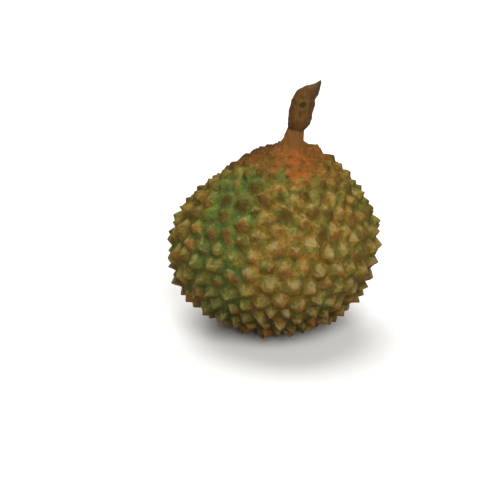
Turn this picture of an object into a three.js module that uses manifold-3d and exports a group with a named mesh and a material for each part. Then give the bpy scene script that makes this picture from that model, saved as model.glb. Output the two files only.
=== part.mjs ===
// A whole durian, as picked: one spiny husk, and the cut stalk that it hung from.
// Millimetres, +Z up. It stands on its blunt end, on the worn tips of the lowest spines, and the
// origin is the flat of the one in the middle. The crown, where the stalk grows, leans towards +X.
import * as THREE from "three";
import { ConvexHull } from "three/addons/math/ConvexHull.js";
import { mergeVertices } from "three/addons/utils/BufferGeometryUtils.js";
import Module from "manifold-3d";

const wasm = await Module();
wasm.setup();

const degrees = THREE.MathUtils.degToRad;

// The body, measured over the tips of its spines from the middle of the fruit.
const HALF_WIDTH = 81.6;
const HALF_DEPTH = 80;
const HALF_HEIGHT = 74.2;
const MIDDLE_HEIGHT = 71.5; // less than HALF_HEIGHT: the lowest tips are worn away by the difference
const CROWN = new THREE.Vector3(0.176, -0.03, 0.984).normalize();
const BLUNT_END = new THREE.Vector3(0, 0, -1);

// Five seed chambers show as faint lobes round the waist.
const LOBES = 5;
const LOBE_RISE = 0.012;
const LOBE_TURN = degrees(207);

// Swells and flats that leave the body uneven: which way, how far round (degrees), how much of the radius.
const SWELLS = [
  { toward: new THREE.Vector3(-0.64, 0.27, 0.72), reach: 25, rise: -0.136 }, // shoulder over a poor chamber
  { toward: new THREE.Vector3(0.31, 0.34, 0.89), reach: 16, rise: 0.066 }, // hump behind the stalk
  { toward: new THREE.Vector3(0.62, 0.28, 0.73), reach: 12, rise: 0.021 },
  { toward: new THREE.Vector3(-0.92, -0.14, -0.37), reach: 24, rise: 0.043 }, // the fullest chamber
  { toward: new THREE.Vector3(0.91, -0.15, -0.39), reach: 20, rise: 0.003 },
  { toward: new THREE.Vector3(0.6, -0.28, -0.75), reach: 16, rise: 0.026 },
];

// The spines.
const SPINE_COUNT = 410;
const SPINE_HEIGHT = 6.2;
const SPINE_UNEVENNESS = 0.28; // share of its height by which a spine is taller or shorter
const SPINE_LEAN = 0.16; // how far a spine leans from the radius towards the waist
const SPINE_STRAY = 0.28; // how far it strays from that to any side
const FLANK_HOLLOW = 1.35; // 1 is a straight-sided pyramid, more is a hollow-sided one
const FLANK_STEP = 0.45; // where the flank's middle ring of points lies between the axis and the foot
const CROWN_SPINE_HEIGHT = 1.8;
const BLUNT_SPINE_HEIGHT = 6.1;
const CROWN_BARE = degrees(14); // within this of the crown no spine stands higher than a crown spine
const CROWN_FULL = degrees(44); // and past this they have their full height
const SHOULDER = new THREE.Vector3(-0.42, 0.32, 0.85); // where the spines stayed short
const SHOULDER_REACH = degrees(27);
const SHOULDER_LOSS = 0.6; // share of their height that they lack there
const BLUNT_REACH = degrees(35);
const CROWN_CROWDING = 1.1; // how many more spines there are to an area at the crown
const CROWN_CROWDING_REACH = degrees(26);

// How the spines are set out: a golden-angle spiral, shaken, and then pushed apart to even gaps.
const SHAKE = 1.15;
const PUSHES = 4;
const PUSH_REACH = 1.25;
const PUSH_GAIN = 0.25;
const SPIRAL_STEPS = 720;
const GOLDEN_ANGLE = Math.PI * (3 - Math.sqrt(5));
const FIXED_SITES = [CROWN, BLUNT_END]; // the stalk's place, and the spine that the fruit stands on

// The stalk: level slices up its length, each height above the crown, how far its middle lies
// towards +X, and its half width and half depth. Joint and knuckle are where it would drop from
// the tree, and above them it ends in a slanting break.
const STALK_SLICES = [
  { height: -2.6, out: -0.2, width: 9.6, depth: 9.4 }, // root, in the husk
  { height: 1.2, out: 0.0, width: 9.8, depth: 9.5 },
  { height: 6, out: 0.2, width: 8.7, depth: 8.4 },
  { height: 11.5, out: 1.0, width: 7.4, depth: 7.2 }, // neck
  { height: 16.4, out: 2.8, width: 6.8, depth: 6.7 }, // joint
  { height: 19.2, out: 4.0, width: 7.2, depth: 7.1 },
  { height: 22, out: 5.1, width: 8.2, depth: 7.9 },
  { height: 30, out: 6.6, width: 9.2, depth: 8.7 }, // knuckle
  { height: 39, out: 8.0, width: 8.8, depth: 8.4 },
  { height: 44.5, out: 10.3, width: 8.6, depth: 7.9 }, // foot of the break
  { height: 47.6, out: 12.2, width: 7.9, depth: 7.0 },
  { height: 50.2, out: 15.2, width: 5.9, depth: 5.4 },
  { height: 52.2, out: 18.7, width: 2.8, depth: 3.2 },
  { height: 55, out: 20.8, width: 0.5, depth: 0.6 }, // tip
];
const STALK_ROOT_DEPTH = 2.6;
const STALK_SIDES = 20;
const STALK_RINGS = 34;
const STALK_RIDGES = 5;
const STALK_RIDGE_SHARE = 0.02;
const SCAR = { height: 38.5, turn: degrees(-92), reach: 2.6, depth: 1.6 }; // pit of a lost bud, in front
const SOCKET_GAP = 0.35;
const SOCKET_SIDES = 28;

// The same number from 0 to 1 every time for a spine and a use.
function chance(spine, use) {
  const wave = Math.sin(spine * 12.9898 + use * 78.233) * 43758.5453;
  return wave - Math.floor(wave);
}

const unevenness = (spine, use) => 2 * chance(spine, use) - 1;

// Distance from the middle to the spines' tips in a direction: an ellipsoid with lobes, swells and flats.
function tipRadius(direction) {
  const { x, y, z } = direction;
  const ellipsoid = 1 / Math.hypot(x / HALF_WIDTH, y / HALF_DEPTH, z / HALF_HEIGHT);
  const around = Math.atan2(y, x);
  let share = 1 + LOBE_RISE * (1 - z * z) * Math.cos(LOBES * (around - LOBE_TURN));
  for (const { toward, reach, rise } of SWELLS)
    share += rise * Math.exp(-((direction.angleTo(toward) / degrees(reach)) ** 2));
  return ellipsoid * share;
}

// Height that spines have in a direction: low round the stalk and on the shoulder, and a little less
// at the blunt end.
function spineHeight(direction) {
  const fromCrown = direction.angleTo(CROWN);
  const fromBlunt = direction.angleTo(BLUNT_END);
  const fromShoulder = direction.angleTo(SHOULDER) / SHOULDER_REACH;
  const full = THREE.MathUtils.lerp(
    BLUNT_SPINE_HEIGHT,
    SPINE_HEIGHT,
    THREE.MathUtils.smoothstep(fromBlunt, 0, BLUNT_REACH),
  );
  return THREE.MathUtils.lerp(
    CROWN_SPINE_HEIGHT,
    full * (1 - SHOULDER_LOSS * Math.exp(-(fromShoulder ** 2))),
    THREE.MathUtils.smoothstep(fromCrown, CROWN_BARE, CROWN_FULL),
  );
}

// The point between the spines, on the skin they stand on.
function valleyPoint(direction) {
  const point = direction.clone().multiplyScalar(tipRadius(direction) - spineHeight(direction));
  point.z += MIDDLE_HEIGHT;
  return point;
}

// Spines to an area, against the angle from the crown.
const crowding = (polar) => 1 + CROWN_CROWDING * Math.exp(-((polar / CROWN_CROWDING_REACH) ** 2));

// Angles from the crown that share the spines out by the crowding.
function polarAngles(count) {
  const step = Math.PI / SPIRAL_STEPS;
  const sums = [0];
  for (let i = 0; i < SPIRAL_STEPS; i++) {
    const polar = (i + 0.5) * step;
    sums.push(sums[i] + crowding(polar) * Math.sin(polar) * step);
  }
  const total = sums[SPIRAL_STEPS];
  const angles = [];
  let at = 0;
  for (let i = 0; i < count; i++) {
    const wanted = ((i + 0.5) / count) * total;
    while (sums[at + 1] < wanted) at++;
    angles.push((at + (wanted - sums[at]) / (sums[at + 1] - sums[at])) * step);
  }
  return { angles, total };
}

// Directions of the spines from the middle of the fruit.
function spineSites() {
  const { angles, total } = polarAngles(SPINE_COUNT);
  const evenSpacing = Math.sqrt((2 * Math.PI * total) / SPINE_COUNT / Math.sin(Math.PI / 3));
  const spacing = (direction) => evenSpacing / Math.sqrt(crowding(direction.angleTo(CROWN)));
  const toCrown = new THREE.Quaternion().setFromUnitVectors(new THREE.Vector3(0, 0, 1), CROWN);
  const loose = angles.map((polar, i) => {
    const site = new THREE.Vector3()
      .setFromSphericalCoords(1, polar, i * GOLDEN_ANGLE)
      .applyAxisAngle(new THREE.Vector3(1, 0, 0), Math.PI / 2)
      .applyQuaternion(toCrown);
    const shake = new THREE.Vector3(unevenness(i, 1), unevenness(i, 2), unevenness(i, 3));
    return site.addScaledVector(shake, (SHAKE * spacing(site)) / 2).normalize();
  });
  const sites = [...FIXED_SITES.map((site) => site.clone()), ...loose];
  for (let push = 0; push < PUSHES; push++) pushApart(sites, spacing);
  return sites;
}

// Moves each loose site away from those closer than its share of the skin.
function pushApart(sites, spacing) {
  const room = sites.map(spacing);
  const moves = sites.map(() => new THREE.Vector3());
  const between = new THREE.Vector3();
  for (let i = 0; i < sites.length; i++)
    for (let j = i + 1; j < sites.length; j++) {
      const reach = (PUSH_REACH * (room[i] + room[j])) / 2;
      const distance = between.subVectors(sites[i], sites[j]).length();
      if (distance >= reach) continue;
      between.multiplyScalar((PUSH_GAIN * (reach - distance)) / distance);
      moves[i].add(between);
      moves[j].sub(between);
    }
  for (let i = FIXED_SITES.length; i < sites.length; i++) sites[i].add(moves[i]).normalize();
}

// Tip of a spine: it leans from the radius towards the waist and strays a little to a side.
function spineTip(site, spine) {
  const foot = valleyPoint(site);
  if (spine === 0) return foot; // the stalk's place stays flat
  const axis = site.clone();
  if (spine >= FIXED_SITES.length) {
    const waist = new THREE.Vector3(site.x, site.y, 0).multiplyScalar(SPINE_LEAN);
    const stray = new THREE.Vector3(unevenness(spine, 4), unevenness(spine, 5), unevenness(spine, 6));
    axis.add(waist).addScaledVector(stray, SPINE_STRAY).normalize();
  }
  const taller = spine < FIXED_SITES.length ? 0 : SPINE_UNEVENNESS * unevenness(spine, 7);
  const height = spineHeight(site) * (1 + taller);
  return foot.addScaledVector(axis, height);
}

// The husk before its lowest tips are worn: each spine is a hollow-sided pyramid that stands on the
// cell of skin nearest to it. Cells meet at corners, one for each triangle of neighbouring spines.
function spinyGeometry() {
  const sites = spineSites();
  const hull = new ConvexHull().setFromPoints(sites);
  const spineOf = new Map(sites.map((site, spine) => [site, spine]));
  const feet = sites.map(valleyPoint);
  const tips = sites.map(spineTip);
  const corners = new Map();
  const flankMiddles = new Map();
  const points = [...tips];
  const add = (point) => points.push(point) - 1;

  const ends = (edge) => [spineOf.get(edge.tail().point), spineOf.get(edge.head().point)];
  const edgesOf = (face) => [0, 1, 2].map((i) => face.getEdge(i));
  for (const face of hull.faces) {
    const around = edgesOf(face).map((edge) => ends(edge)[0]);
    const middle = new THREE.Vector3();
    for (const spine of around) middle.add(sites[spine]);
    const corner = valleyPoint(middle.normalize());
    corners.set(face, add(corner));
    const middles = new Map();
    for (const spine of around) {
      const rise = (1 - FLANK_STEP) ** FLANK_HOLLOW;
      const point = feet[spine].clone().lerp(corner, FLANK_STEP);
      point.addScaledVector(tips[spine].clone().sub(feet[spine]), rise);
      middles.set(spine, add(point));
    }
    flankMiddles.set(face, middles);
  }

  const triangles = [];
  for (const face of hull.faces)
    for (const edge of edgesOf(face)) {
      const [spine] = ends(edge);
      const other = edge.twin.face;
      const [left, right] = [corners.get(face), corners.get(other)];
      const [leftMiddle, rightMiddle] = [face, other].map((f) => flankMiddles.get(f).get(spine));
      triangles.push(right, left, leftMiddle);
      triangles.push(right, leftMiddle, rightMiddle);
      triangles.push(rightMiddle, leftMiddle, spine);
    }
  return new THREE.BufferGeometry().setFromPoints(points).setIndex(triangles);
}

// A closed three.js geometry as a manifold-3d solid, and back.
function solidOf(geometry) {
  const bare = geometry.clone();
  bare.deleteAttribute("normal");
  bare.deleteAttribute("uv");
  const merged = mergeVertices(bare, 1e-4);
  return new wasm.Manifold(
    new wasm.Mesh({
      numProp: 3,
      vertProperties: merged.attributes.position.array,
      triVerts: new Uint32Array(merged.index.array),
    }),
  );
}

function geometryOf(solid) {
  const mesh = solid.getMesh();
  return new THREE.BufferGeometry()
    .setAttribute("position", new THREE.BufferAttribute(mesh.vertProperties, 3))
    .setIndex(new THREE.BufferAttribute(mesh.triVerts, 1));
}

const crownPoint = valleyPoint(CROWN);

// Round bore that the stalk's root stands in.
function socketGeometry() {
  const root = STALK_SLICES[0];
  const radius = root.width + SOCKET_GAP;
  const depth = STALK_ROOT_DEPTH + SOCKET_GAP;
  const above = 20;
  const bore = new THREE.CylinderGeometry(radius, radius, depth + above, SOCKET_SIDES);
  bore.rotateX(Math.PI / 2);
  return bore.translate(crownPoint.x + root.out, crownPoint.y, crownPoint.z - depth + (depth + above) / 2);
}

function huskGeometry() {
  const below = new THREE.BoxGeometry(4 * HALF_WIDTH, 4 * HALF_DEPTH, HALF_HEIGHT);
  below.translate(0, 0, -HALF_HEIGHT / 2);
  const husk = solidOf(spinyGeometry()).subtract(solidOf(below)).subtract(solidOf(socketGeometry()));
  return geometryOf(husk);
}

// Smooth values between the stalk's slices: Catmull-Rom through them, even in the slice count.
function stalkSlice(share) {
  const at = share * (STALK_SLICES.length - 1);
  const i = Math.min(Math.floor(at), STALK_SLICES.length - 2);
  const t = at - i;
  const slice = (k) => STALK_SLICES[THREE.MathUtils.clamp(k, 0, STALK_SLICES.length - 1)];
  const [a, b, c, d] = [slice(i - 1), slice(i), slice(i + 1), slice(i + 2)];
  const mix = (key) =>
    b[key] +
    0.5 * t * (c[key] - a[key] +
      t * (2 * a[key] - 5 * b[key] + 4 * c[key] - d[key] +
        t * (3 * (b[key] - c[key]) + d[key] - a[key])));
  return { height: mix("height"), out: mix("out"), width: mix("width"), depth: mix("depth") };
}

// The stalk's skin: rings of points up the slices, closed by a point at each end.
function stalkGeometry() {
  const points = [];
  for (let ring = 0; ring <= STALK_RINGS; ring++) {
    const { height, out, width, depth } = stalkSlice(ring / STALK_RINGS);
    for (let side = 0; side < STALK_SIDES; side++) {
      const turn = (2 * Math.PI * side) / STALK_SIDES;
      const ridges = 1 + STALK_RIDGE_SHARE * Math.cos(STALK_RIDGES * turn);
      const off = Math.hypot(height - SCAR.height, wrapped(turn - SCAR.turn) * depth) / SCAR.reach;
      const pit = SCAR.depth * Math.exp(-off * off);
      const x = out + (width * ridges - pit) * Math.cos(turn);
      const y = (depth * ridges - pit) * Math.sin(turn);
      points.push(new THREE.Vector3(x, y, height));
    }
  }
  const [first, last] = [STALK_SLICES[0], STALK_SLICES.at(-1)];
  const bottom = points.push(new THREE.Vector3(first.out, 0, first.height)) - 1;
  const top = points.push(new THREE.Vector3(last.out, 0, last.height + last.width / 2)) - 1;
  const triangles = [];
  for (let side = 0; side < STALK_SIDES; side++) {
    const next = (side + 1) % STALK_SIDES;
    const topRing = STALK_RINGS * STALK_SIDES;
    triangles.push(bottom, next, side, top, topRing + side, topRing + next);
    for (let ring = 0; ring < STALK_RINGS; ring++) {
      const [low, high] = [ring * STALK_SIDES, (ring + 1) * STALK_SIDES];
      triangles.push(low + side, low + next, high + next, low + side, high + next, high + side);
    }
  }
  const skin = new THREE.BufferGeometry().setFromPoints(points).setIndex(triangles);
  return skin.translate(crownPoint.x, crownPoint.y, crownPoint.z);
}

const wrapped = (turn) => Math.atan2(Math.sin(turn), Math.cos(turn));

function piece(name, geometry, color, roughness) {
  const material = new THREE.MeshStandardMaterial({ color, roughness, metalness: 0 });
  const mesh = new THREE.Mesh(geometry, material);
  mesh.name = name;
  return mesh;
}

const durian = new THREE.Group();
durian.add(piece("husk", huskGeometry(), 0x6f6a2e, 0.75));
durian.add(piece("stalk", stalkGeometry(), 0x6b4526, 0.85));

export default durian;
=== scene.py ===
"""A whole durian standing on a pale floor: the husk with its spines, and the cut stalk on its crown.

Both skins are worked out in metres in the part's own frame, from the same rule as its solids: the
origin is the worn flat that the fruit stands on, +Z is up and the stalk leans towards +X.
"""

import math
from types import SimpleNamespace

import bmesh
import bpy
import numpy as np
from bpy.props import FloatProperty, FloatVectorProperty, IntProperty, PointerProperty
from bpy.types import Operator, Panel, PropertyGroup
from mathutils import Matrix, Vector


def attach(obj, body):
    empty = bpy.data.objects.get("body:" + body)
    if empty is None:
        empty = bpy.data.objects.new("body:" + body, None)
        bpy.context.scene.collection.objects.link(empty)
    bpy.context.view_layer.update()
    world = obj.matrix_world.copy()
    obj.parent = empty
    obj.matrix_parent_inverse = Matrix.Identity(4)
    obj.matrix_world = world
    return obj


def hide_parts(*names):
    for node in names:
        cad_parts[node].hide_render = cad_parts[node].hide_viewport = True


bl_info = {
    "name": "Durian",
    "version": (1, 0, 0),
    "blender": (4, 5, 0),
    "location": "3D View > Sidebar > Durian",
    "description": "Grows a durian's spiny husk and its stalk, and sets them on a pale floor",
    "category": "Object",
}

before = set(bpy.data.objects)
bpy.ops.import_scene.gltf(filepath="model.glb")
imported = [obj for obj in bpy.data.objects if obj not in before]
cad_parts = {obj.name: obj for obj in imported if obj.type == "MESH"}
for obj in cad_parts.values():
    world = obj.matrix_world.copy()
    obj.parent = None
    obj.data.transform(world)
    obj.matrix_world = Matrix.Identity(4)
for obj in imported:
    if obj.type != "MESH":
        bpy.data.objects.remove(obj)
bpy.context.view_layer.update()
BODY = "root"
MM = 0.001


def unit(vectors):
    """The vectors, or the one vector, at length 1."""
    vectors = np.asarray(vectors, float)
    return vectors / np.linalg.norm(vectors, axis=-1, keepdims=True)


# ------------------------------ the body of the fruit

CROWN = unit([0.176, -0.03, 0.984])
BLUNT_END = np.array([0.0, 0.0, -1.0])
LOBES = 5
LOBE_RISE = 0.012
LOBE_TURN = math.radians(207)

# Which way, how far round in degrees, and by what share of the radius the body swells.
SWELLS = (
    ((-0.64, 0.27, 0.72), 25, -0.136),  # shoulder over a poor chamber
    ((0.31, 0.34, 0.89), 16, 0.066),  # hump behind the stalk
    ((0.62, 0.28, 0.73), 12, 0.021),
    ((-0.92, -0.14, -0.37), 24, 0.043),  # the fullest chamber
    ((0.91, -0.15, -0.39), 20, 0.003),
    ((0.6, -0.28, -0.75), 16, 0.026),
)

COLLAR_RISE = 2.0 * MM  # of the skin round the stalk's foot
COLLAR_INSIDE = math.radians(7.5)
COLLAR_OUTSIDE = math.radians(17)
UNEVEN_SKIN = 0.16 * MM
UNEVEN_PITCH = 7 * MM
UNEVEN_SEED = 5

# ------------------------------ the spines

CROWN_SPINE_HEIGHT = 1.8 * MM
CROWN_BARE = math.radians(14)
CROWN_FULL = math.radians(44)
BLUNT_SPINE_HEIGHT = 6.1 * MM
BLUNT_REACH = math.radians(35)
SHOULDER = (-0.42, 0.32, 0.85)  # where the spines stayed short
SHOULDER_REACH = math.radians(27)
SHOULDER_LOSS = 0.6
SPINE_UNEVENNESS = 0.28  # of its height
SPINE_LEAN = 0.16  # towards the waist
SPINE_STRAY = 0.28  # to any side
SPINE_BEND = 1.3 * MM
TIP_ROUNDING = 0.05
FLANK_FULLNESS = 1.6  # how soon the flank's own profile takes over beside a ridge

FIXED_SITES = np.array([CROWN, BLUNT_END])
SPIRAL_STEPS = 720
GOLDEN_ANGLE = math.pi * (3 - math.sqrt(5))
CROWN_CROWDING = 1.1
CROWN_CROWDING_REACH = math.radians(26)
SHAKE = 1.15
PUSHES = 4
PUSH_REACH = 1.25
PUSH_GAIN = 0.25

# What each number drawn for a spine or a flank is used for.
SHAKE_USES = (1, 2, 3)
STRAY_USES = (4, 5, 6)
HEIGHT_USE = 7
TONE_USE = 8
BEND_USES = (9, 10, 11)
FACET_USE = 13
STREAK_USES = (21, 22, 23)
FACING_SHARE = 0.37  # of the number of the spine faced, which sets a flank apart from its spine

# Where the rows of points lie on a spine's flank, from its tip at 0 to its foot at 1, and across
# one flank, from ridge to ridge.
FLANK_ROWS = np.array([0, 0.035, 0.09, 0.165, 0.26, 0.37, 0.49, 0.61, 0.73, 0.86, 1.0])
FLANK_COLUMNS = np.array([0, 0.13, 0.5, 0.87, 1.0])
OFF_MIDDLE = np.abs(2 * FLANK_COLUMNS - 1)  # 0 mid flank and 1 on its ridges
RIDGE_EDGE = 0.375  # how far off the middle the look of a ridge begins

# ------------------------------ the stalk

# Level slices up the stalk: height above the crown, how far the middle lies towards +X, half width
# and half depth, in millimetres.
STALK_SLICES = np.array(
    [
        (-2.6, -0.2, 9.6, 9.4),  # root, in the husk
        (1.2, 0.0, 9.8, 9.5),
        (6, 0.2, 8.7, 8.4),
        (11.5, 1.0, 7.4, 7.2),  # neck
        (16.4, 2.8, 6.8, 6.7),  # joint
        (19.2, 4.0, 7.2, 7.1),
        (22, 5.1, 8.2, 7.9),
        (30, 6.6, 9.2, 8.7),  # knuckle
        (39, 8.0, 8.8, 8.4),
        (44.5, 10.3, 8.6, 7.9),  # foot of the break
        (47.6, 12.2, 7.9, 7.0),
        (50.2, 15.2, 5.9, 5.4),
        (52.2, 18.7, 2.8, 3.2),
        (55, 20.8, 0.5, 0.6),  # tip
    ]
) * MM
STALK_RIDGES = 5
STALK_RIDGE_DEPTH = 0.02  # of the radius, as for the grooves
STALK_GROOVES = 13
STALK_GROOVE_DEPTH = 0.007
STALK_GROOVE_TWIST = 1200  # radians in a metre
JOINT_HEIGHT = 18.4 * MM
JOINT_WIDTH = 1.5 * MM
JOINT_DEPTH = 0.3 * MM
JOINT_SLANT = 1.9 * MM
JOINT_WAVE = 0.3 * MM
FLARE = 4.5 * MM
FLARE_FOOT = 1.3 * MM
FLARE_FADE = 1.9 * MM
DRAPE_FADE = 4 * MM
SCAR_HEIGHT = 38.5 * MM
SCAR_TURN = math.radians(-92)
SCAR_REACH = 2.6 * MM
SCAR_DEPTH = 1.6 * MM
SCAR_SHARPNESS = 1.15
RIM_RISE = 0.25 * MM
RIM_RADIUS = 1.35  # of the scar's reach, as the width
RIM_WIDTH = 0.42
THIN_BARK = (0.5 * MM, 5 * MM)  # half widths of the stalk between which the bark grows rough
BARK_STRETCH = np.array([1, 1, 0.3])
FINE_BARK_RISE, FINE_BARK_PITCH, FINE_BARK_SEED = 0.1 * MM, 2.2 * MM, 11
COARSE_BARK_RISE, COARSE_BARK_PITCH, COARSE_BARK_SEED = 0.22 * MM, 8 * MM, 12
BROKEN_TIP = np.array([0.2, 0, 0.35]) * MM  # from the last ring's middle

# ------------------------------ colours and light

# Which way the skin stayed green, how far round in degrees, and how strongly.
GREEN_AREAS = (
    ((-0.4, -0.43, 0.81), 20, 1.4),
    ((0.04, -0.456, 0.889), 7, 1.2),
    ((-0.52, -0.76, 0.4), 20, 0.9),
    ((-0.63, -0.77, -0.1), 24, 1.25),
    ((-0.52, -0.74, -0.43), 18, 1.1),
    ((0.16, -0.73, 0.66), 14, 0.6),
    ((0.61, -0.3, 0.73), 14, 0.3),
    ((0.55, -0.75, -0.35), 18, 0.6),
    ((0.95, 0.25, 0.1), 30, 0.9),
    ((0.2, 0.9, 0.4), 34, 1.1),
    ((-0.6, 0.75, -0.2), 34, 1.2),
)
LEAST_GREEN = -0.2
PAINTED_LIGHT_SIDE = (0.12, -0.82, 0.56)  # the side left bright; painted shade darkens the skin turned away from it
SCURFY = (0.08, 0.06, 1.0)  # the middle of the scurf on the crown
RUSTY = (0.9, -0.35, 0.1)  # the side where the scurf is rust, and brown across from it
VIVID = (0.237, -0.353, 0.904)  # the middle of the brightest rust
PAINTED_LIGHT_WAY = unit([-0.35, 0.15, 0.93])  # the way of the painted light: flanks that face it are painted paler, those turned away darker
STREAK_SIZE = 0.28  # of the streaks' own pattern, in which a flank is about 1 wide
STREAK_RUN = 0.25  # how far a streak runs through that pattern, from tip to foot
STREAK_SPREAD = 40  # how far apart the spines lie in it

# What some layers let through of the colour under them: painted shade in the hollows, grime, painted shade on
# the side away from the front and top, and painted shade on the stalk.
HOLLOW_SHADE = (0.42, 0.39, 0.32)
GRIME_SHADE = (0.5, 0.42, 0.35)
FALLOFF_SHADE = (0.7, 0.74, 0.66)
STALK_SHADE = (0.6, 0.52, 0.5)

HUSK_GLOSS = 0.02
STALK_GLOSS = 0.1
FLOOR_ROUGHNESS = 0.8
FLOOR_SIZE = 80
FRAME_PIXELS = 500
FRUIT_PIXEL = (274, 240)  # where the middle of the fruit stands in the picture, from its top left

# Where the two lamps shine from, how far across they look, and their colours.
KEY_PLACE, KEY_WIDTH, KEY_COLOUR = (-0.22, 0.4, 1.2), math.radians(55), (1.0, 0.98, 0.95)
FRONT_PLACE, FRONT_WIDTH, FRONT_COLOUR = (0.26, -1.02, 0.84), math.radians(40), (1.0, 0.99, 0.97)


class HuskSettings(PropertyGroup):
    """Sizes and colours of the husk."""

    half_width: FloatProperty(
        name="Half Width", description="Middle to spine tips along X", default=0.0816, unit="LENGTH"
    )
    half_depth: FloatProperty(
        name="Half Depth", description="Middle to spine tips along Y", default=0.08, unit="LENGTH"
    )
    half_height: FloatProperty(
        name="Half Height", description="Middle to spine tips along Z", default=0.0742, unit="LENGTH"
    )
    middle_height: FloatProperty(
        name="Middle Height", description="Height of the middle of the fruit", default=0.0715, unit="LENGTH"
    )
    spine_count: IntProperty(name="Spines", description="Spines set out on the skin", default=410, min=60)
    spine_height: FloatProperty(
        name="Spine Height", description="Height of a full spine", default=0.0062, unit="LENGTH"
    )
    ridge_hollow: FloatProperty(
        name="Ridge Hollow", description="Hollow of a spine's profile along its ridges", default=1.25
    )
    flank_hollow: FloatProperty(
        name="Flank Hollow", description="Hollow of a spine's profile mid flank", default=1.45
    )
    green: FloatVectorProperty(
        name="Green", description="Skin between the spines", subtype="COLOR", default=(0.038, 0.088, 0.017)
    )
    olive: FloatVectorProperty(
        name="Olive", description="Skin on the riper side", subtype="COLOR", default=(0.114, 0.07, 0.006)
    )
    sage: FloatVectorProperty(
        name="Sage",
        description="Flanks of the spines on the green side",
        subtype="COLOR",
        default=(0.108, 0.118, 0.017),
    )
    tan: FloatVectorProperty(
        name="Tan",
        description="Flanks of the spines on the riper side",
        subtype="COLOR",
        default=(0.245, 0.168, 0.032),
    )
    # Painted highlight in part: pale patches on flanks that face the painted light, and some at random.
    cream: FloatVectorProperty(
        name="Cream",
        description="Weathered patches on the green side",
        subtype="COLOR",
        default=(0.23, 0.212, 0.068),
    )
    # Painted highlight in part: pale patches on flanks that face the painted light, and some at random.
    straw: FloatVectorProperty(
        name="Straw",
        description="Weathered patches on the riper side",
        subtype="COLOR",
        default=(0.262, 0.2, 0.082),
    )
    moss: FloatVectorProperty(
        name="Moss", description="Small green patches", subtype="COLOR", default=(0.08, 0.105, 0.018)
    )
    ochre: FloatVectorProperty(
        name="Ochre", description="Small warm patches", subtype="COLOR", default=(0.265, 0.125, 0.026)
    )
    # Painted shade on the spines' sides turned from the painted light; also their dark streaks and dried
    # tips.
    bark: FloatVectorProperty(
        name="Bark", description="Shaded sides of the spines", subtype="COLOR", default=(0.055, 0.034, 0.004)
    )
    rust: FloatVectorProperty(
        name="Rust", description="Scurf on the crown", subtype="COLOR", default=(0.195, 0.064, 0.009)
    )
    umber: FloatVectorProperty(
        name="Umber", description="Brown skin under the scurf", subtype="COLOR", default=(0.072, 0.027, 0.002)
    )
    vivid: FloatVectorProperty(
        name="Vivid", description="Brightest rust below the neck", subtype="COLOR", default=(0.3, 0.07, 0.01)
    )
    fleck: FloatVectorProperty(
        name="Fleck", description="Bright flecks of scurf", subtype="COLOR", default=(0.31, 0.112, 0.02)
    )
    scab: FloatVectorProperty(
        name="Scab", description="Dark scars on the crown", subtype="COLOR", default=(0.06, 0.026, 0.004)
    )
    tip: FloatVectorProperty(
        name="Tip", description="Dried tips of the spines", subtype="COLOR", default=(0.195, 0.068, 0.016)
    )
    # Painted shade: skin and flanks are mixed towards this colour lower down.
    bottom_shade: FloatVectorProperty(
        name="Earth", description="Dark skin at the blunt end", subtype="COLOR", default=(0.055, 0.034, 0.008)
    )
    bloom: FloatVectorProperty(
        name="Bloom",
        description="Thin pale bloom over all the skin",
        subtype="COLOR",
        default=(0.009, 0.009, 0.0055),
    )


class StalkSettings(PropertyGroup):
    """Fineness and colours of the stalk."""

    sides: IntProperty(name="Sides", description="Points round the stalk", default=112, min=24)
    rings: IntProperty(name="Rings", description="Rings of points up the stalk", default=190, min=40)
    neck: FloatVectorProperty(
        name="Neck", description="Stalk under its joint", subtype="COLOR", default=(0.13, 0.052, 0.011)
    )
    knuckle: FloatVectorProperty(
        name="Knuckle", description="Stalk above its joint", subtype="COLOR", default=(0.088, 0.045, 0.009)
    )
    stain: FloatVectorProperty(
        name="Stain",
        description="Red-brown blotches above the joint",
        subtype="COLOR",
        default=(0.062, 0.018, 0.003),
    )
    fibre: FloatVectorProperty(
        name="Fibre", description="Paler fibres of the bark", subtype="COLOR", default=(0.1, 0.06, 0.014)
    )
    band: FloatVectorProperty(
        name="Band", description="Dark band above the joint", subtype="COLOR", default=(0.05, 0.018, 0.004)
    )
    rind: FloatVectorProperty(
        name="Rind",
        description="Dull green-brown of the torn end",
        subtype="COLOR",
        default=(0.042, 0.026, 0.005),
    )
    seam: FloatVectorProperty(
        name="Seam", description="Groove of the joint", subtype="COLOR", default=(0.025, 0.01, 0.0035)
    )
    rim: FloatVectorProperty(
        name="Rim", description="Rim of the bud scar", subtype="COLOR", default=(0.105, 0.072, 0.03)
    )
    pit: FloatVectorProperty(
        name="Pit", description="Bottom of the bud scar", subtype="COLOR", default=(0.02, 0.019, 0.004)
    )


class StageSettings(PropertyGroup):
    """Camera, light and floor."""

    elevation: FloatProperty(
        name="Elevation", description="Camera above the horizon", default=math.radians(21), subtype="ANGLE"
    )
    distance: FloatProperty(
        name="Distance", description="Camera to its target", default=1.2, unit="LENGTH"
    )
    lens: FloatProperty(name="Lens", description="Focal length in millimetres", default=112.2)
    key: FloatProperty(name="Key", description="Strength of the lamp above and behind", default=3.4)
    front: FloatProperty(name="Front", description="Strength of the lamp above the camera", default=3.72)
    air: FloatProperty(name="Air", description="Strength of the light from all round", default=0.2)
    floor: FloatVectorProperty(
        name="Floor", description="Colour of the floor", subtype="COLOR", default=(0.68, 0.68, 0.675)
    )
    dust: FloatVectorProperty(
        name="Dust", description="Faint patches on the floor", subtype="COLOR", default=(0.56, 0.56, 0.55)
    )


# ------------------------------ numbers


def chance(index, use):
    """The same number from 0 to 1 every time for an index and a use: the fraction of a large sine."""
    wave = np.sin(index * 12.9898 + use * 78.233) * 43758.5453
    return wave - np.floor(wave)


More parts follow.
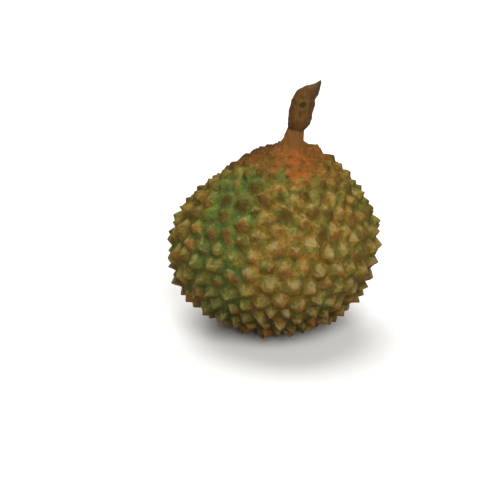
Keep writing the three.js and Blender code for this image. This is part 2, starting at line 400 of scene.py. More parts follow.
def unevenness(index, use):
    """The same number from -1 to 1 every time for an index and a use."""
    return 2 * chance(index, use) - 1


def uneven_vectors(index, uses):
    """The same vector, with parts from -1 to 1, every time for an index and three uses."""
    return np.stack([unevenness(index, use) for use in uses], axis=-1)


def angle_to(directions, toward):
    """Angle between each direction and one other."""
    return np.arccos(np.clip(directions @ (np.array(toward) / np.linalg.norm(toward)), -1, 1))


def smoothstep(x, low, high):
    """0 below low, 1 above high and smooth between."""
    t = np.clip((x - low) / (high - low), 0, 1)
    return t * t * (3 - 2 * t)


def hump(x, low, full, fading, gone):
    """0 outside low and gone, 1 from full to fading and smooth between."""
    return smoothstep(x, low, full) * (1 - smoothstep(x, fading, gone))


def lerp(a, b, t):
    """a where t is 0, b where it is 1 and straight between."""
    return a + (b - a) * t


def ripple(points, pitch, seed, waves=24):
    """A smooth uneven field of about unit height: plane waves of one pitch in random directions, added."""
    draw = np.random.default_rng(seed)
    ways = unit(draw.normal(size=(waves, 3))) * (2 * math.pi / pitch) * draw.uniform(0.6, 1.5, (waves, 1))
    phases = draw.uniform(0, 2 * math.pi, waves)
    total = np.zeros(points.shape[:-1])
    for way, phase in zip(ways, phases):
        total += np.sin(points @ way + phase)
    return total / math.sqrt(waves / 2)


def tip_radius(directions, husk):
    """Distance from the middle to the spines' tips: an ellipsoid with lobes and swells."""
    x, y, z = np.moveaxis(directions, -1, 0)
    halves = (x / husk.half_width) ** 2 + (y / husk.half_depth) ** 2 + (z / husk.half_height) ** 2
    share = 1 + LOBE_RISE * (1 - z * z) * np.cos(LOBES * (np.arctan2(y, x) - LOBE_TURN))
    for toward, reach, rise in SWELLS:
        share = share + rise * np.exp(-((angle_to(directions, toward) / math.radians(reach)) ** 2))
    return 1 / np.sqrt(halves) * share


def spine_height(directions, husk):
    """Height of the spines in a direction: low at the stalk, on the shoulder and at the blunt end."""
    from_blunt_end = smoothstep(angle_to(directions, BLUNT_END), 0, BLUNT_REACH)
    full = lerp(BLUNT_SPINE_HEIGHT, husk.spine_height, from_blunt_end)
    full = full * (1 - SHOULDER_LOSS * np.exp(-((angle_to(directions, SHOULDER) / SHOULDER_REACH) ** 2)))
    return lerp(CROWN_SPINE_HEIGHT, full, smoothstep(angle_to(directions, CROWN), CROWN_BARE, CROWN_FULL))


def valley_points(directions, husk):
    """Points of the skin between the spines: the tips' surface, lowered by the height of the spines."""
    radius = tip_radius(directions, husk) - spine_height(directions, husk)
    return directions * radius[..., None] + np.array([0, 0, husk.middle_height])


def collar_rise(ways):
    """The skin rises to meet the stalk: a smooth step of the angle from the crown."""
    return COLLAR_RISE * (1 - smoothstep(angle_to(ways, CROWN), COLLAR_INSIDE, COLLAR_OUTSIDE))


# ------------------------------ where the spines stand


def crowding(polar):
    """How many spines stand on a patch at an angle from the crown, for one on a patch at the waist."""
    return 1 + CROWN_CROWDING * np.exp(-((polar / CROWN_CROWDING_REACH) ** 2))


def spine_sites(husk):
    """Directions of the spines: a golden-angle spiral about the crown, shaken, then pushed apart."""
    step = math.pi / SPIRAL_STEPS
    polar_edges = np.arange(SPIRAL_STEPS + 1) * step
    polar_middles = polar_edges[:-1] + step / 2
    sums = np.concatenate([[0], np.cumsum(crowding(polar_middles) * np.sin(polar_middles) * step)])
    index = np.arange(husk.spine_count, dtype=float)
    polar = np.interp((index + 0.5) / husk.spine_count * sums[-1], sums, polar_edges)
    around = index * GOLDEN_ANGLE
    spiral = np.stack(
        [np.sin(polar) * np.sin(around), -np.sin(polar) * np.cos(around), np.cos(polar)], axis=-1
    )
    turn = Vector((0, 0, 1)).rotation_difference(Vector(CROWN)).to_matrix()
    sites = spiral @ np.array(turn).T
    even = math.sqrt(2 * math.pi * sums[-1] / husk.spine_count / math.sin(math.pi / 3))

    def spacing(directions):
        """The angle between neighbours packed as in a honeycomb, closer where they crowd."""
        return even / np.sqrt(crowding(angle_to(directions, CROWN)))

    shake = uneven_vectors(index, SHAKE_USES)
    loose = unit(sites + shake * (SHAKE * spacing(sites) / 2)[:, None])
    sites = np.concatenate([FIXED_SITES, loose])
    for _ in range(PUSHES):
        sites = pushed_apart(sites, spacing(sites))
    return sites


def pushed_apart(sites, room):
    """Moves each loose site away from those closer than its share of the skin."""
    between = sites[:, None] - sites[None]
    distance = np.linalg.norm(between, axis=-1)
    np.fill_diagonal(distance, np.inf)
    reach = PUSH_REACH * (room[:, None] + room[None]) / 2
    push = np.where(distance < reach, PUSH_GAIN * (reach - distance) / distance, 0)
    moved = sites.copy()
    moves = (between * push[..., None]).sum(axis=1)
    moved[len(FIXED_SITES):] = unit(sites + moves)[len(FIXED_SITES):]
    return moved


def spine_throws(sites, husk):
    """Vector from each spine's foot to its tip: it leans towards the waist and strays to a side."""
    index = np.arange(len(sites), dtype=float)
    waist = sites * np.array([1, 1, 0]) * SPINE_LEAN
    stray = uneven_vectors(index, STRAY_USES) * SPINE_STRAY
    leaning = unit(sites + waist + stray)
    fixed = index < len(FIXED_SITES)
    axis = np.where(fixed[:, None], sites, leaning)
    taller = np.where(fixed, 0, SPINE_UNEVENNESS * unevenness(index, HEIGHT_USE))
    height = spine_height(sites, husk) * (1 + taller)
    height[0] = 0  # the stalk's place stays flat
    return axis * height[:, None]


def spine_bends(sites):
    """How each spine bows between its foot and its tip: a random vector for each."""
    bends = uneven_vectors(np.arange(len(sites), dtype=float), BEND_USES) * SPINE_BEND
    bends[0] = 0
    return bends


def neighbour_triangles(sites):
    """Triangles of neighbouring spines: the faces of the convex hull of their directions."""
    shell = bpy.data.meshes.new("neighbours")
    shell.from_pydata(sites, [], [])
    hull = bmesh.new()
    hull.from_mesh(shell)
    bmesh.ops.convex_hull(hull, input=hull.verts)
    bmesh.ops.triangulate(hull, faces=hull.faces)
    hull.to_mesh(shell)
    hull.free()
    corners = np.empty(len(shell.loops), np.int32)
    shell.loops.foreach_get("vertex_index", corners)
    bpy.data.meshes.remove(shell)
    corners = corners.reshape(-1, 3)
    a, b, c = (sites[corners[:, i]] for i in range(3))
    inward = np.einsum("ij,ij->i", np.cross(b - a, c - a), a) < 0
    corners[inward] = corners[inward][:, ::-1]
    return corners


# ------------------------------ the husk's skin


def flanks_between(faces, spines):
    """One flank for each edge of each face: the spine at its start faces the one at its end.

    A flank's twin faces it from that other spine. The corners on its two sides are the middles of
    the faces there, and its left ridge has its own number.
    """
    index = np.arange(faces.size)
    own = faces.ravel()
    facing = np.roll(faces, -1, axis=1).ravel()
    after = 3 * (index // 3) + (index + 1) % 3
    order = np.argsort(own * spines + facing)
    twin = order[np.searchsorted((own * spines + facing)[order], facing * spines + own)]
    return SimpleNamespace(
        index=index,
        own=own,
        facing=facing,
        twin=twin,
        left_corner=index // 3,
        right_corner=twin // 3,
        right_ridge=after[twin],
    )


def numbered(flanks, spines, cells):
    """The number of each point of each flank, and how many numbers there are.

    Flanks share their points along tips, corners, ridges and feet, so the skin is closed.
    """
    flank, twin = flanks.index, flanks.twin
    rows, columns = len(FLANK_ROWS), len(FLANK_COLUMNS)
    inner_rows, inner_columns = rows - 2, columns - 2
    corner_start = spines
    ridge_start = corner_start + cells
    inside_start = ridge_start + len(flank) * inner_rows
    foot_start = inside_start + len(flank) * inner_rows * inner_columns

    number = np.empty((len(flank), rows, columns), np.int64)
    number[:, 0, :] = flanks.own[:, None]
    number[:, -1, 0] = corner_start + flanks.right_corner
    number[:, -1, -1] = corner_start + flanks.left_corner
    steps = np.arange(inner_rows)
    number[:, 1:-1, 0] = ridge_start + flanks.right_ridge[:, None] * inner_rows + steps
    number[:, 1:-1, -1] = ridge_start + flank[:, None] * inner_rows + steps
    inside = np.arange(inner_rows * inner_columns).reshape(inner_rows, inner_columns)
    number[:, 1:-1, 1:-1] = inside_start + flank[:, None, None] * inside.size + inside

    # The earlier of two twins numbers the foot that they share.
    earlier = (flank < twin)[:, None]
    rank = np.cumsum(earlier, axis=0) - 1
    across = np.arange(inner_columns)
    first = np.where(earlier, rank, rank[twin]) * inner_columns
    number[:, -1, 1:-1] = foot_start + first + np.where(earlier, across, across[::-1])
    return number, foot_start + len(flank) // 2 * inner_columns


def patch_triangles(number):
    """Two triangles for each patch of four numbers, or one where the patch ends in a spine's tip."""
    top, low = number[:, :-1], number[:, 1:]
    right_low, left_low = low[:, :, :-1], low[:, :, 1:]
    right_top, left_top = top[:, :, :-1], top[:, :, 1:]
    lower = np.stack([right_low, left_low, left_top], axis=-1)
    upper = np.stack([right_low, left_top, right_top], axis=-1)[:, 1:]
    return np.concatenate([lower.reshape(-1, 3), upper.reshape(-1, 3)])


def blunted(row):
    """The row, with the slope worn off round the tip: a hyperbola that still runs from 0 to 1."""
    return (np.hypot(row, TIP_ROUNDING) - TIP_ROUNDING) / (math.hypot(1, TIP_ROUNDING) - TIP_ROUNDING)


def husk_surface(husk):
    """The husk's skin as (points, triangles, values by name).

    Each spine stands on the cell of skin nearest to it. The cell is cut into flanks, one facing each
    neighbour, that share the spine's tip. A point of a flank has a row from 0 at the tip to 1 at
    the foot, and a column from 0 to 1 between its two ridges. Its foot lies on the skin in the
    direction mixed from the spine's own and the cell edge's by the row, and it is raised from there
    by (1 - row) to the power of the hollow, times the spine's throw.
    """
    sites = spine_sites(husk)
    faces = neighbour_triangles(sites)
    flanks = flanks_between(faces, len(sites))
    corner_ways = unit(sites[faces].sum(axis=1))
    right_ways, left_ways = (corner_ways[c][:, None] for c in (flanks.right_corner, flanks.left_corner))
    of_spines = (sites, spine_throws(sites, husk), spine_bends(sites))
    axis, throw, bend = (vectors[flanks.own][:, None, None] for vectors in of_spines)

    row = FLANK_ROWS[:, None]
    mid_flank = 1 - OFF_MIDDLE**FLANK_FULLNESS
    edge = unit(lerp(right_ways, left_ways, FLANK_COLUMNS[:, None]))[:, None]
    way = unit(lerp(axis, edge, row[..., None]))
    rise = (1 - blunted(row)) ** lerp(husk.ridge_hollow, husk.flank_hollow, mid_flank)
    points = valley_points(way, husk) + throw * rise[..., None] + bend * (rise * (1 - rise))[..., None]
    points += way * collar_rise(way)[..., None]

    number, count = numbered(flanks, len(sites), len(faces))

    def by_number(values):
        """The values of the flanks' points, each once, in the order of their numbers."""
        each = np.empty((count, *values.shape[3:]))
        each[number] = values
        return each

    skin = by_number(points)
    skin += by_number(way) * (UNEVEN_SKIN * ripple(skin, UNEVEN_PITCH, UNEVEN_SEED))[:, None]
    skin[:, 2] = np.maximum(skin[:, 2], 0)  # worn flat where the fruit rests
    values = flank_values(flanks, way, axis, rise, mid_flank).items()
    return skin, patch_triangles(number), {
        name: by_number(np.broadcast_to(value, number.shape)) for name, value in values
    }


def flank_values(flanks, way, axis, rise, mid_flank):
    """What the husk's finish reads at each point of each flank, by name.

    rise is 1 at a spine's tip and 0 at its foot. tone is a random number for each spine, and facet
    one for each flank, fading out at its ridges, where ridge is 1. sky says how squarely the flank
    faces PAINTED_LIGHT_WAY, the way of the painted light and shade, green how green the skin is, and streaked
    where streaks show. The along values are a place in the streaks' pattern, which changes across a flank
    and little from its tip to its foot.
    """
    row = FLANK_ROWS[:, None]
    on_flank = hump(row, 0.0, 0.22, 0.7, 1.0)
    off_axis = way - axis
    off_axis = off_axis / np.maximum(np.linalg.norm(off_axis, axis=-1, keepdims=True), 1e-9)
    apart = np.stack([chance(flanks.own, use) for use in STREAK_USES], axis=-1) * STREAK_SPREAD
    along = off_axis + apart[:, None, None] + STREAK_RUN * row[..., None]
    return {
        "rise": rise,
        "tone": chance(flanks.own, TONE_USE)[:, None, None] * (rise > 0),
        "facet": chance(flanks.own + FACING_SHARE * flanks.facing, FACET_USE)[:, None, None] * mid_flank,
        "ridge": np.clip((OFF_MIDDLE - RIDGE_EDGE) / (1 - RIDGE_EDGE), 0, 1) * on_flank,
        # How squarely the flank faces the way of the painted light.
        "painted_light_facing": (off_axis @ PAINTED_LIGHT_WAY) * on_flank,
        "green": greenness(way),
        "streaked": hump(row, 0.0, 0.12, 0.55, 0.86),
        "along_x": along[..., 0],
        "along_y": along[..., 1],
        "along_z": along[..., 2],
    }


def greenness(ways):
    """How green the skin is: soft round areas added together."""
    total = np.full(ways.shape[:-1], LEAST_GREEN)
    for toward, reach, share in GREEN_AREAS:
        total += share * np.exp(-((angle_to(ways, toward) / math.radians(reach)) ** 2))
    return total


# ------------------------------ the stalk's skin


def stalk_slices(shares):
    """Catmull-Rom through the slices, at shares from 0 at the root to 1 at the tip."""
    last = len(STALK_SLICES) - 1
    at = shares * last
    i = np.minimum(at.astype(int), last - 1)
    t = (at - i)[:, None]
    a, b, c, d = (STALK_SLICES[np.clip(i + k, 0, last)] for k in (-1, 0, 1, 2))
    return b + 0.5 * t * (c - a + t * (2 * a - 5 * b + 4 * c - d + t * (3 * (b - c) + d - a)))


def stalk_surface(stalk, husk):
    """The stalk's skin as (points, triangles, values by name): rings of points, closed at both ends.

    A ring is the slice's ellipse, made uneven by broad ridges and fine grooves along the stalk,
    pinched at the joint, flared over the husk's collar, with the pit and rim of a bud scar.
    """
    crown = valley_points(CROWN[None], husk)[0]
    shares = np.linspace(0, 1, stalk.rings)
    height, out, width, depth = (v[:, None] for v in stalk_slices(shares).T)
    turn = np.linspace(0, 2 * math.pi, stalk.sides, endpoint=False)[None]
    cosine, sine = np.cos(turn), np.sin(turn)
    grooves = STALK_GROOVE_DEPTH * np.cos(STALK_GROOVES * turn + STALK_GROOVE_TWIST * height)
    uneven = 1 + STALK_RIDGE_DEPTH * np.cos(STALK_RIDGES * turn) + grooves

    around = (turn - SCAR_TURN + math.pi) % (2 * math.pi) - math.pi
    off = np.hypot(height - SCAR_HEIGHT, around * depth) / SCAR_REACH
    scar = np.exp(-((SCAR_SHARPNESS * off) ** 2))
    rim = np.exp(-(((off - RIM_RADIUS) / RIM_WIDTH) ** 2))
    slant = JOINT_WAVE * np.sin(3 * turn) - JOINT_SLANT * cosine
    joint = np.exp(-(((height - JOINT_HEIGHT - slant) / JOINT_WIDTH) ** 2))
    flare = np.exp(-np.maximum(height - FLARE_FOOT, 0) / FLARE_FADE)
    grow = RIM_RISE * rim - SCAR_DEPTH * scar - JOINT_DEPTH * joint + FLARE * flare

    x = out + (width * uneven + grow) * cosine
    y = (depth * uneven + grow) * sine
    skin = np.stack([x, y, np.broadcast_to(height, x.shape)], axis=-1)
    way_out = np.concatenate([cosine, sine, 0 * turn]).T
    bark = FINE_BARK_RISE * ripple(skin * BARK_STRETCH, FINE_BARK_PITCH, FINE_BARK_SEED)
    bark = bark + COARSE_BARK_RISE * ripple(skin, COARSE_BARK_PITCH, COARSE_BARK_SEED)
    skin = skin + way_out * (bark * smoothstep(width, *THIN_BARK))[..., None]
    skin[..., 2] += draped(skin, crown, husk) * np.exp(-np.maximum(height, 0) / DRAPE_FADE)
    ends = np.stack([skin[0].mean(axis=0), skin[-1].mean(axis=0) + BROKEN_TIP])
    values = {"seam": joint, "scar": scar, "rim": rim, "up": height, "side": cosine}
    whole = {name: np.broadcast_to(value, x.shape) for name, value in values.items()}
    return closed_tube(skin, ends, whole, crown)


def draped(points, crown, husk):
    """How far the husk's skin lies above or below the level of the crown, under points by the crown."""
    middle = np.array([0, 0, husk.middle_height])
    level = points * np.array([1, 1, 0]) + crown - middle
    return np.linalg.norm(valley_points(unit(level), husk) - middle, axis=-1) - np.linalg.norm(level, axis=-1)


def closed_tube(skin, ends, values, place):
    """Joins rings of points into a tube, with a fan to a point at each end."""
    rings, sides = skin.shape[:2]
    number = np.arange(rings * sides).reshape(rings, sides)
    following = np.roll(number, -1, axis=1)
    low, high = number[:-1], number[1:]
    low_next, high_next = following[:-1], following[1:]
    first, last = rings * sides, rings * sides + 1
    walls = [np.stack([low, low_next, high_next], -1), np.stack([low, high_next, high], -1)]
    fans = [
        np.stack([following[0], number[0], np.full(sides, first)], -1),
        np.stack([number[-1], following[-1], np.full(sides, last)], -1),
    ]
    triangles = np.concatenate([part.reshape(-1, 3) for part in walls + fans])
    points = np.concatenate([skin.reshape(-1, 3), ends]) + place
    flat = {name: np.concatenate([v.ravel(), [v[0].mean(), v[-1].mean()]]) for name, v in values.items()}
    return points, triangles, flat


# ------------------------------ meshes and shaders


def skin_object(name, points, triangles, values):
    """A smooth mesh object with one number for each point under each name in values."""
    mesh = bpy.data.meshes.new(name)
    mesh.from_pydata(points, [], triangles)
    mesh.polygons.foreach_set("use_smooth", np.ones(len(triangles), bool))
    for key, value in values.items():
        attribute = mesh.attributes.new(key, "FLOAT", "POINT")
        attribute.data.foreach_set("value", value.astype(np.float32))
    mesh.update()
    piece = bpy.data.objects.new(name, mesh)
    bpy.context.scene.collection.objects.link(piece)
    return piece


class Value:
    """A number in a shader: Python's operators on it add Math nodes to its tree."""

    def __init__(self, shader, socket):
        self.shader = shader
        self.socket = socket

    def _math(self, operation, *inputs):
        return self.shader.node("ShaderNodeMath", {"operation": operation}, dict(enumerate(inputs)))

    def __add__(self, other):
        return self._math("ADD", self, other)

    def __sub__(self, other):
        return self._math("SUBTRACT", self, other)

    def __rsub__(self, other):
        return self._math("SUBTRACT", other, self)

    def __mul__(self, other):
        return self._math("MULTIPLY", self, other)

    __radd__ = __add__
    __rmul__ = __mul__

    def step(self, low, high):
        """0 below low, 1 above high and smooth between."""
        return self.shader.node(
            "ShaderNodeMapRange",
            {"interpolation_type": "SMOOTHSTEP", "clamp": True},
            {"Value": self, "From Min": low, "From Max": high},
        )


class Shader:
    """A material's node tree, and the few kinds of node that the finishes use."""

    def __init__(self, name):
        self.material = bpy.data.materials.new(name)
        self.material.use_nodes = True
        self.tree = self.material.node_tree
        self.bsdf = self.tree.nodes["Principled BSDF"]
        self.place = self.node("ShaderNodeTexCoord", output="Object")

    def node(self, kind, settings=None, inputs=None, output=0):
        """Adds a node of a kind, with its settings and then the values or links of its sockets."""
        made = self.tree.nodes.new(kind)
        for key, value in (settings or {}).items():
            setattr(made, key, value)
        for key, value in (inputs or {}).items():
            self.put(made.inputs[key], value)
        return Value(self, made.outputs[output])

    def put(self, socket, value):
        """Links a value to a socket, or sets the socket to a plain number or colour."""
        if isinstance(value, Value):
            self.tree.links.new(value.socket, socket)
        else:
            socket.default_value = value

    def surface(self, **values):
        """Puts values into the surface's own sockets, named with _ for a space."""
        for name, value in values.items():
            self.put(self.bsdf.inputs[name.replace("_", " ")], value)

    def attribute(self, name):
        """One of the numbers that the mesh keeps for each point."""
        return self.node("ShaderNodeAttribute", {"attribute_name": name}, output="Fac")

    def height(self):
        """Height above the floor in metres."""
        return self.node("ShaderNodeSeparateXYZ", {}, {0: self.place}, output="Z")

    def way(self, middle, direction):
        """Cosine of the angle, seen from the middle, between the surface point and a direction."""
        from_middle = self.node("ShaderNodeVectorMath", {"operation": "SUBTRACT"}, {0: self.place, 1: middle})
        out = self.node("ShaderNodeVectorMath", {"operation": "NORMALIZE"}, {0: from_middle})
        return self.node(
            "ShaderNodeVectorMath", {"operation": "DOT_PRODUCT"}, {0: out, 1: tuple(unit(direction))}, "Value"
        )

    def shifted(self, shift, scale=(1, 1, 1)):
        """The object's coordinates, moved and squeezed, for a pattern of its own or with a grain."""
        return self.node("ShaderNodeMapping", {}, {"Vector": self.place, "Location": shift, "Scale": scale})

    def noise(self, size, detail=3, roughness=0.6, place=None):
        """Noise about 0, mostly within a quarter either way, whose patches are about size across."""
        noise = self.node(
            "ShaderNodeTexNoise",
            {},
            {"Vector": place or self.place, "Scale": 1 / size, "Detail": detail, "Roughness": roughness},
        )
        return noise - 0.5

    def mix(self, factor, a, b, blend="MIX"):
        """The colour a where factor is 0, turning to b, or to a blended with b, where it is 1."""
        a, b = (colour if isinstance(colour, Value) else (*colour, 1) for colour in (a, b))
        return self.node(
            "ShaderNodeMix",
            {"data_type": "RGBA", "blend_type": blend, "clamp_factor": True},
            {"Factor": factor, 6: a, 7: b},
            output=2,
        )

    def bump(self, height, distance, strength):
        """A normal for the Normal socket from a height, of which 1 stands for the distance in metres."""
        return self.node(
            "ShaderNodeBump", {}, {"Height": height, "Distance": distance, "Strength": strength}, "Normal"
        )


def shared_patterns(s):
    """The uneven patterns of the crown, which are the same on both skins, from broad to fine."""
    return (
        s.noise(12 * MM, detail=4),
        s.noise(6 * MM, place=s.shifted((7, 3, 5))),
        s.noise(5 * MM),
        s.noise(3.2 * MM, detail=2),
        s.noise(1.8 * MM, detail=4, roughness=0.65),
    )


def crown_scurf(s, husk, patterns):
    """Rust on one side and brown on the other, with bright flecks and dark scars, the same on both skins."""
    patch, daub, blot, speck, fine = patterns
    middle = (0, 0, husk.middle_height)
    rusty = (s.way(middle, RUSTY) * 2.2 + blot * 2.0 + patch * 2.6).step(-0.15, 1.0)
    colour = s.mix(rusty, husk.umber, husk.rust)
    vivid = (s.way(middle, VIVID) + blot * 0.05 + patch * 0.06).step(0.975, 0.993)
    colour = s.mix(vivid * 0.5, colour, husk.vivid)
    colour = s.mix((fine * 0.6 + speck * 0.4).step(0.0, 0.12) * 0.45, colour, husk.fleck)
    whole = (speck * 0.3 + daub * 0.7).step(-0.14, 0.1)
    return s.mix((1 - whole) * 0.55, colour, husk.scab)


def husk_finish(husk):
    """Green to olive skin, dried rusty tips, rusty scurf on the crown, and painted light and shade: paler
    flanks where they face the painted light, darker where turned away, painted shade in the hollows, towards
    the blunt end and on the side away from the front and top.

    Every layer mixes one more colour over those before it, by a mask of the mesh's own values and
    the uneven patterns. The first number of a step is where the layer starts and the second where it
    is whole, and the number after it is how strong it gets.
    """
    s = Shader("husk")
    rise, tone, facet, painted_light_facing, ridge = (s.attribute(name) for name in ("rise", "tone", "facet", "painted_light_facing", "ridge"))
    middle, height = (0, 0, husk.middle_height), s.height()
    patterns = shared_patterns(s)
    patch, daub, blot, speck, fine = patterns
    broad = s.noise(45 * MM, detail=2, roughness=0.5)
    drift = s.noise(16 * MM, place=s.shifted((3, 5, 7)))
    moss_spot = s.noise(8.5 * MM, roughness=0.65, place=s.shifted((2, 9, 4)))
    warm_spot = s.noise(8.5 * MM, roughness=0.65, place=s.shifted((8, 1, 6)))
    grit = s.noise(0.6 * MM, detail=2, roughness=0.5)

    # Skin and flanks, from the riper side to the greener one, darker low down: painted shade towards the
    # bottom.
    greener = s.attribute("green") + broad * 0.6 + patch * 3.0 + moss_spot * 2.0
    greener_side = greener + (tone - 0.5) * 1.2
    low = (height * -10 + patch * 0.8 + blot * 0.5).step(-0.8, 0.0)
    high = (height * 20 + patch * 0.8).step(1.5, 2.4)
    skin = s.mix(greener.step(-0.1, 1.0), husk.olive, husk.green)
    skin = s.mix(low * 0.9, skin, husk.bottom_shade)
    flank = s.mix(greener_side.step(0.1, 1.1), husk.tan, husk.sage)
    flank = s.mix(low * 0.45, flank, husk.bottom_shade)
    raised = (rise + patch * 2.2 + daub * 2.0).step(0.0, 0.6)
    colour = s.mix(raised * (1 - low * 0.35) * 0.95, skin, flank)
    mossy = (moss_spot + drift * 0.5 + greener * 0.02).step(0.0, 0.12)
    colour = s.mix(mossy * 0.85, colour, husk.moss)
    warm = (warm_spot - drift * 0.3 + rise * 0.08 - greener * 0.05).step(0.03, 0.17)
    colour = s.mix(warm * 0.62, colour, husk.ochre)

    # Painted light and shade: paler where a flank faces the painted light, a little on its ridges and in
    # random patches, painted shade where it is turned away, and painted shade in the hollows, more so low
    # down.
    turned = painted_light_facing * 0.55 + ridge * 0.2 + (facet - 0.5) * 0.6 + blot * 2.2 + speck * 1.2
    colour = s.mix((rise * -0.3 - turned).step(0.1, 0.65) * 0.7, colour, husk.bark)
    pale = s.mix(greener_side.step(-0.4, 0.9), husk.straw, husk.cream)
    pale_and_lit = (turned + rise * (0.4 - high * 0.6) + low * 0.12 + 0.04).step(0.3, 0.85)
    colour = s.mix(pale_and_lit * 0.8, colour, pale)
    # Painted shade in the hollows between the spines, stronger low down.
    hollow = (1 - rise).step(0.4, 0.95)
    colour = s.mix(hollow * (low * 0.8 + 0.15), colour, HOLLOW_SHADE, "MULTIPLY")

    # Fine streaks up the flanks, dried tips and a little scurf everywhere.
    along = s.node("ShaderNodeCombineXYZ", {}, {axis: s.attribute("along_" + axis.lower()) for axis in "XYZ"})
    streaks = s.noise(STREAK_SIZE, place=along) * s.attribute("streaked")
    colour = s.mix((0 - streaks).step(0.02, 0.14) * 0.22, colour, husk.bark)
    tipped = (rise + daub * 1.5 + tone - 0.5 - painted_light_facing * 0.2 - greener * 0.1 + high * 0.12).step(0.5, 0.95)
    dried = s.mix((tone * 0.9 + height * 8 + drift * 1.5).step(1.1, 1.7), husk.tip, husk.bark)
    colour = s.mix(tipped * 0.85, colour, dried)
    colour = s.mix((fine * 0.45 + drift * 0.65).step(0.0, 0.13) * 0.3, colour, husk.rust)
    crowned = (s.way(middle, SCURFY) + patch * 0.75 + blot * 0.5 - greener * 0.04).step(0.79, 0.93)
    colour = s.mix(crowned * 0.95, colour, crown_scurf(s, husk, patterns))

    # Grime, painted shade on the side away from the front and top, and bloom over it all.
    colour = s.mix((grit * 0.4 + fine * 0.6).step(-0.1, 0.12) * 0.35, colour, GRIME_SHADE, "MULTIPLY")
    painted_lit_side = (s.way(middle, PAINTED_LIGHT_SIDE) + broad * 0.4).step(0.25, 0.95)
    colour = s.mix(1 - painted_lit_side, colour, FALLOFF_SHADE, "MULTIPLY")
    colour = s.mix(1.0, colour, husk.bloom, "ADD")

    s.surface(
        Base_Color=colour,
        Roughness=0.62 + fine * 0.3 + (1 - rise) * 0.1,
        Normal=s.bump(fine * 0.6 + grit * 0.3 + blot * 0.8 + streaks * 1.5, 1 * MM, 0.7),
        Specular_IOR_Level=HUSK_GLOSS,
    )
    return s.material


def stalk_finish(stalk, husk):
    """Rusty neck, brown knuckle with darker blotches and painted shade on its +X side and top, dark joint and
    scar, dull torn end.
    """
    s = Shader("stalk")
    seam, scar, rim, up, side = (s.attribute(name) for name in ("seam", "scar", "rim", "up", "side"))
    blotch = s.noise(6 * MM)
    stain = s.noise(3.6 * MM, place=s.shifted((4, 2, 8), scale=(1, 1, 0.8)))
    grain = s.noise(1.2 * MM, detail=4, place=s.shifted((0, 0, 0), scale=(1, 1, 0.25)))
    grit = s.noise(0.5 * MM, detail=2, roughness=0.5)

    # The bark: neck, then knuckle with its stains, fibres, dark band, painted shade on its +X side and
    # towards its top, and torn end.
    above = (up + blotch * 0.003).step(0.0168, 0.02)
    colour = s.mix(above, stalk.neck, stalk.knuckle)
    stained = (stain * 0.85 + grain * 0.15 + side * side * 0.08 + up * 1.6).step(0.045, 0.14)
    colour = s.mix(stained * above * 0.75, colour, stalk.stain)
    colour = s.mix((grain * 0.7 + grit * 0.3).step(0.02, 0.2) * 0.3, colour, stalk.fibre)
    banded = 1 - (up + side * 0.0015 + blotch * 0.005).step(0.0185, 0.0275)
    colour = s.mix(banded * above * 0.85, colour, stalk.band)
    # Painted shade on the knuckle's +X side, growing towards its top.
    shaded = (side + blotch * 1.2 + up * 20 - 0.5).step(0.0, 1.1)
    colour = s.mix(shaded * above * 0.6, colour, STALK_SHADE, "MULTIPLY")
    torn = (up + side * 0.004 + blotch * 0.008).step(0.046, 0.052)
    colour = s.mix(torn * 0.75, colour, stalk.rind)

    # The husk's scurf at its root, the bud scar's rim and pit, and the joint's groove.
    rooted = 1 - (up + blotch * 0.008).step(0.001, 0.01)
    colour = s.mix(rooted * 0.95, colour, crown_scurf(s, husk, shared_patterns(s)))
    colour = s.mix(rim.step(0.2, 1.0) * 0.4, colour, stalk.rim)
    colour = s.mix((seam * 0.5 + grain * 0.5).step(0.1, 1.0) * 0.9, colour, stalk.seam)
    colour = s.mix((scar * 1.4 + stain * 0.8).step(0.1, 1.0) * 0.92, colour, stalk.pit)
    s.surface(
        Base_Color=colour,
        Roughness=0.68 + grain * 0.3,
        Normal=s.bump(grain * 0.8 + grit * 0.2 + blotch * 0.5, 0.7 * MM, 0.8),
        Specular_IOR_Level=STALK_GLOSS,
    )
    return s.material


def floor_finish(stage):
    """Plain pale matte floor, very slightly mottled."""
    s = Shader("floor")
    mottle = 0.04 + s.noise(0.4, detail=2, roughness=0.5) * 0.08
    s.surface(Base_Color=s.mix(mottle, stage.floor, stage.dust), Roughness=FLOOR_ROUGHNESS)
    return s.material


# ------------------------------ floor, light and camera


def make_floor(stage):
    """One large square at the height that the fruit rests on."""
    half = FLOOR_SIZE / 2
    corners = np.array([(-half, -half, 0), (half, -half, 0), (half, half, 0), (-half, half, 0)])
    mesh = bpy.data.meshes.new("floor")
    mesh.from_pydata(corners, [], [(0, 1, 2, 3)])
    floor = bpy.data.objects.new("floor", mesh)
    bpy.context.scene.collection.objects.link(floor)
    floor.data.materials.append(floor_finish(stage))


def lamp(name, place, strength, width, colour):
    """A distant lamp that shines on the origin from the side of a point, soft by its width as an angle."""
    light = bpy.data.lights.new(name, "SUN")
    light.energy = strength
    light.angle = width
    light.color = colour
    sun = bpy.data.objects.new(name, light)
    bpy.context.scene.collection.objects.link(sun)
    sun.location = place
    sun.rotation_euler = (-Vector(place)).to_track_quat("-Z", "Y").to_euler()


def make_lights(context, stage):
    """A soft lamp above, behind and to the left, a second above the camera, and pale air."""
    lamp("key", KEY_PLACE, stage.key, KEY_WIDTH, KEY_COLOUR)
    lamp("front", FRONT_PLACE, stage.front, FRONT_WIDTH, FRONT_COLOUR)
    world = bpy.data.worlds.new("air")
    world.use_nodes = True
    background = world.node_tree.nodes["Background"]
    background.inputs["Color"].default_value = (1, 1, 1, 1)
    background.inputs["Strength"].default_value = stage.air
    context.scene.world = world
    context.scene.view_settings.view_transform = "Standard"


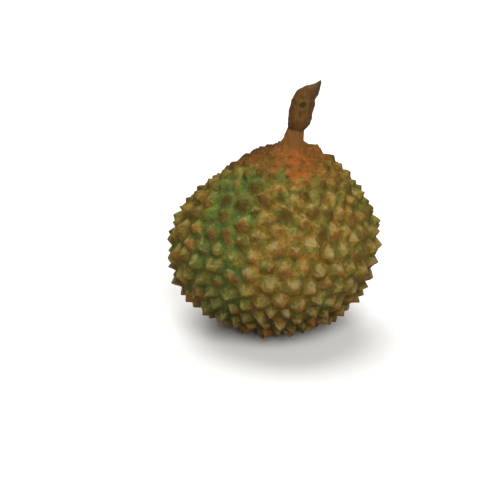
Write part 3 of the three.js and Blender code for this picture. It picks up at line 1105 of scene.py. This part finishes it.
def make_camera(context, stage, husk):
    """The camera looks along +Y and down, aimed so that the fruit's middle falls on FRUIT_PIXEL."""
    data = bpy.data.cameras.new("camera")
    data.lens = stage.lens
    camera = bpy.data.objects.new("camera", data)
    context.scene.collection.objects.link(camera)
    sine, cosine = math.sin(stage.elevation), math.cos(stage.elevation)
    forward, upward, right = Vector((0, cosine, -sine)), Vector((0, sine, cosine)), Vector((1, 0, 0))
    metres_per_pixel = stage.distance * data.sensor_width / stage.lens / FRAME_PIXELS
    to_right = (FRUIT_PIXEL[0] - FRAME_PIXELS / 2) * metres_per_pixel
    to_top = (FRAME_PIXELS / 2 - FRUIT_PIXEL[1]) * metres_per_pixel
    target = Vector((0, 0, husk.middle_height)) - right * to_right - upward * to_top
    camera.location = target - forward * stage.distance
    camera.rotation_euler = forward.to_track_quat("-Z", "Y").to_euler()
    context.scene.camera = camera


# ------------------------------ operators and panel


def add_piece(name, surface, material, node):
    """Makes a skin's object, rides it on the part's body and lets it stand for the CAD node."""
    piece = skin_object(name, *surface)
    piece.data.materials.append(material)
    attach(piece, BODY)
    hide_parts(node)


class DURIAN_OT_husk(Operator):
    """Grow the husk's skin with all its spines"""

    bl_idname = "durian.husk"
    bl_label = "Grow Husk"

    def execute(self, context):
        husk = context.scene.durian_husk
        add_piece("husk_skin", husk_surface(husk), husk_finish(husk), "husk")
        return {"FINISHED"}


class DURIAN_OT_stalk(Operator):
    """Grow the stalk on the crown"""

    bl_idname = "durian.stalk"
    bl_label = "Grow Stalk"

    def execute(self, context):
        husk, stalk = context.scene.durian_husk, context.scene.durian_stalk
        add_piece("stalk_skin", stalk_surface(stalk, husk), stalk_finish(stalk, husk), "stalk")
        return {"FINISHED"}


class DURIAN_OT_stage(Operator):
    """Set the floor, the light and the camera"""

    bl_idname = "durian.stage"
    bl_label = "Set Stage"

    def execute(self, context):
        stage = context.scene.durian_stage
        make_floor(stage)
        make_lights(context, stage)
        make_camera(context, stage, context.scene.durian_husk)
        return {"FINISHED"}


class DURIAN_PT_panel(Panel):
    """Lists the durian's pieces and settings"""

    bl_label = "Durian"
    bl_idname = "DURIAN_PT_panel"
    bl_space_type = "VIEW_3D"
    bl_region_type = "UI"
    bl_category = "Durian"

    def draw(self, context):
        for settings, operator in (
            (context.scene.durian_husk, DURIAN_OT_husk),
            (context.scene.durian_stalk, DURIAN_OT_stalk),
            (context.scene.durian_stage, DURIAN_OT_stage),
        ):
            box = self.layout.box()
            for name in settings.__annotations__:
                box.prop(settings, name)
            box.operator(operator.bl_idname)


CLASSES = (
    HuskSettings,
    StalkSettings,
    StageSettings,
    DURIAN_OT_husk,
    DURIAN_OT_stalk,
    DURIAN_OT_stage,
    DURIAN_PT_panel,
)


def register():
    for cls in CLASSES:
        bpy.utils.register_class(cls)
    bpy.types.Scene.durian_husk = PointerProperty(type=HuskSettings)
    bpy.types.Scene.durian_stalk = PointerProperty(type=StalkSettings)
    bpy.types.Scene.durian_stage = PointerProperty(type=StageSettings)


def unregister():
    del bpy.types.Scene.durian_stage
    del bpy.types.Scene.durian_stalk
    del bpy.types.Scene.durian_husk
    for cls in reversed(CLASSES):
        bpy.utils.unregister_class(cls)


def main():
    register()
    bpy.ops.durian.husk()
    bpy.ops.durian.stalk()
    bpy.ops.durian.stage()


if __name__ == "__main__":
    main()
